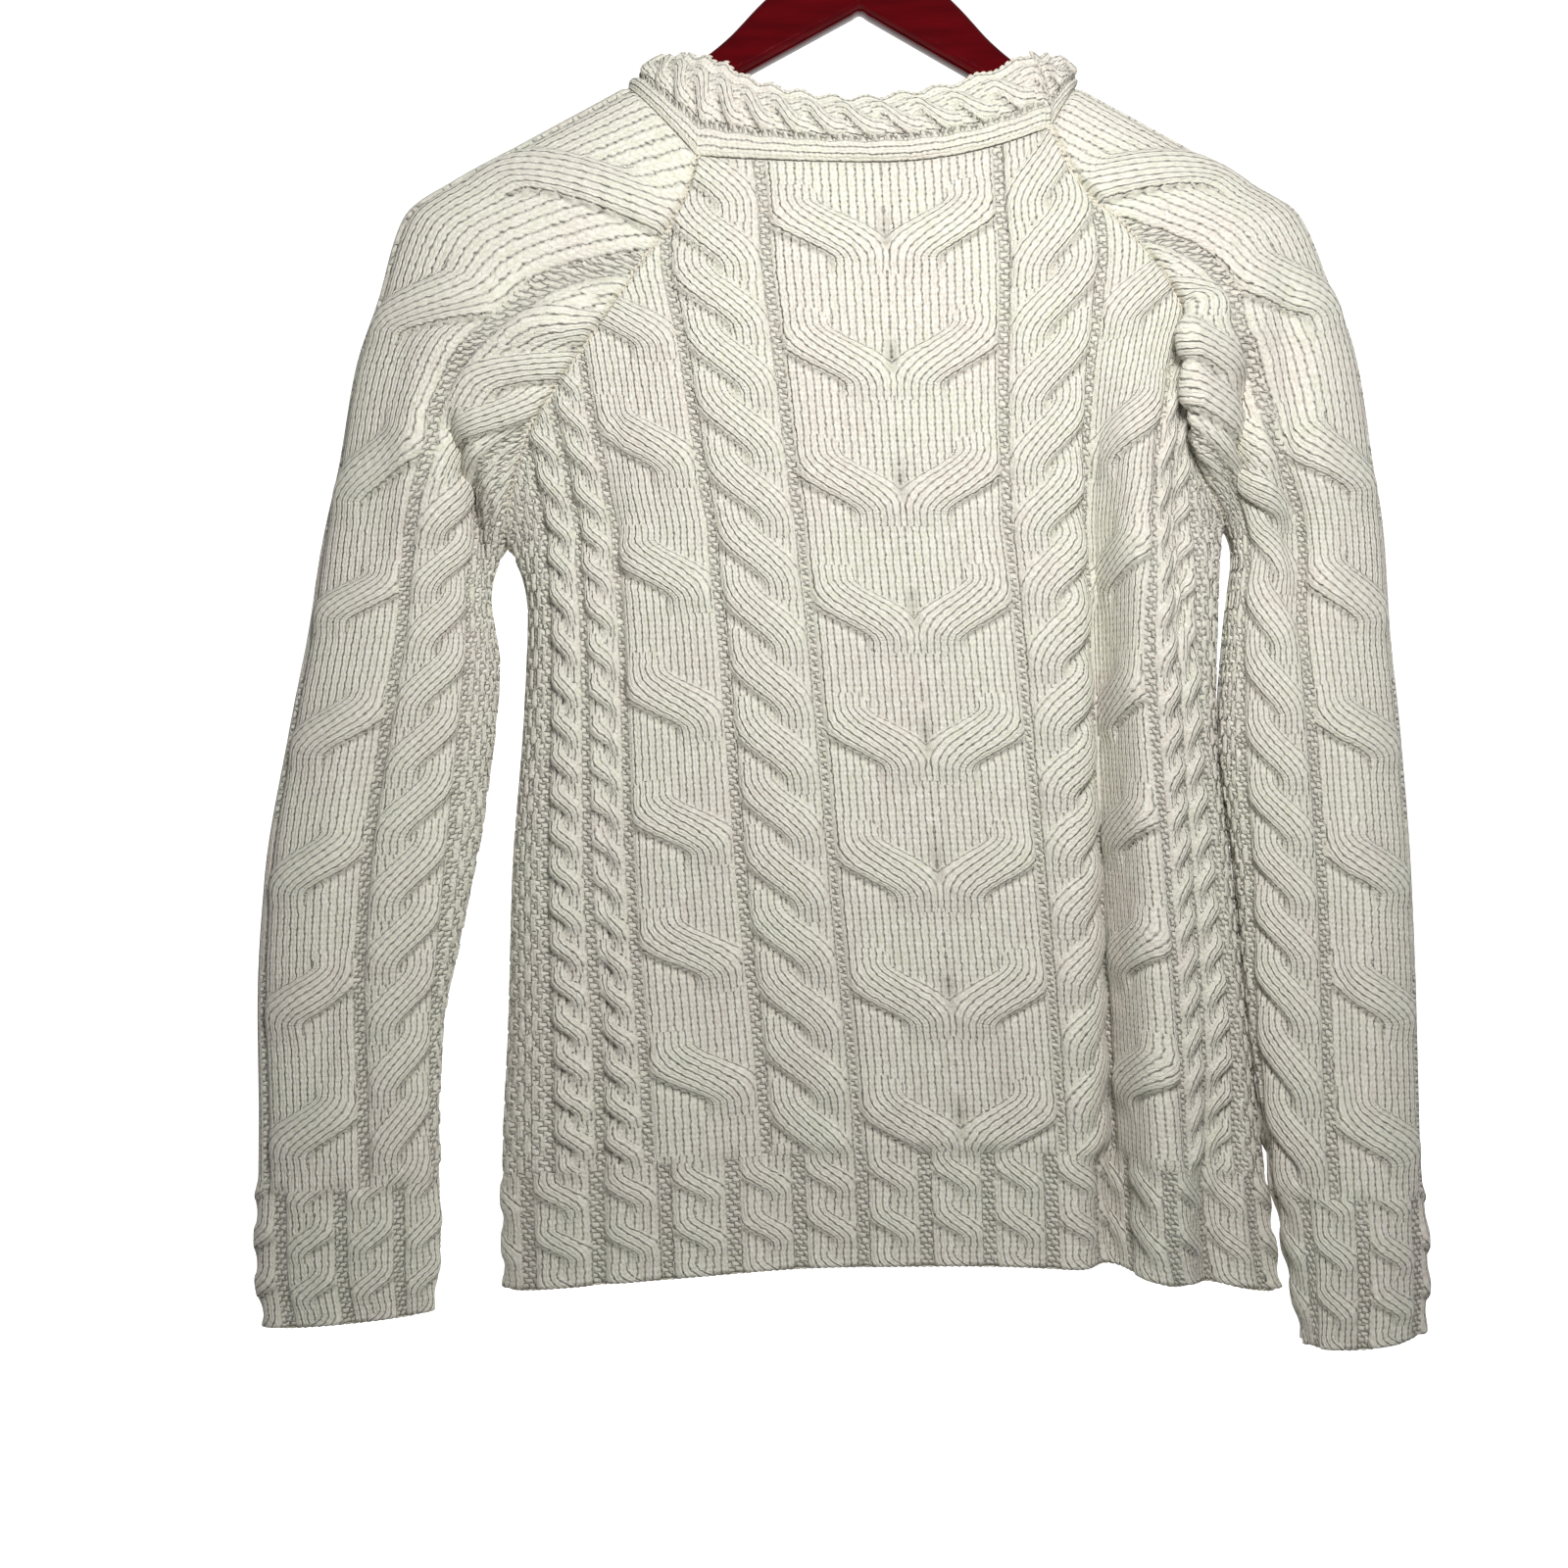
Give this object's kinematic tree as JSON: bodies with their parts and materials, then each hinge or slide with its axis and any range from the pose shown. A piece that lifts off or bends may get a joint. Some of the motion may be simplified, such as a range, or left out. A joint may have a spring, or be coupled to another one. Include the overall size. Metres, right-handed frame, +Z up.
{
  "type": "cable-knit sweater on a wooden clothes hanger",
  "caption": "Cable-knit raglan sweater with long sleeves and a round neck, hanging on a lacquered wooden hanger with a wire hook.",
  "frame": {"origin": "inside top of the hook's loop, where a rail carries the hanger", "axes": "+Z up, the sweater's back faces -Y and its chest +Y, +X to the right of someone who looks at its back"},
  "size_m": [0.5928, 0.0981, 0.7762],
  "materials": {
    "wool": "cream wool knitted in cables, matt",
    "lacquered_wood": "dark red gloss lacquer",
    "hook_steel": "bright plated wire"
  },
  "bodies": {
    "root": {"back": "wool", "front": "wool", "sleeve_left": "wool", "sleeve_right": "wool", "neckband": "wool", "hanger": "lacquered_wood", "hook": "hook_steel"}
  },
  "joints": []
}
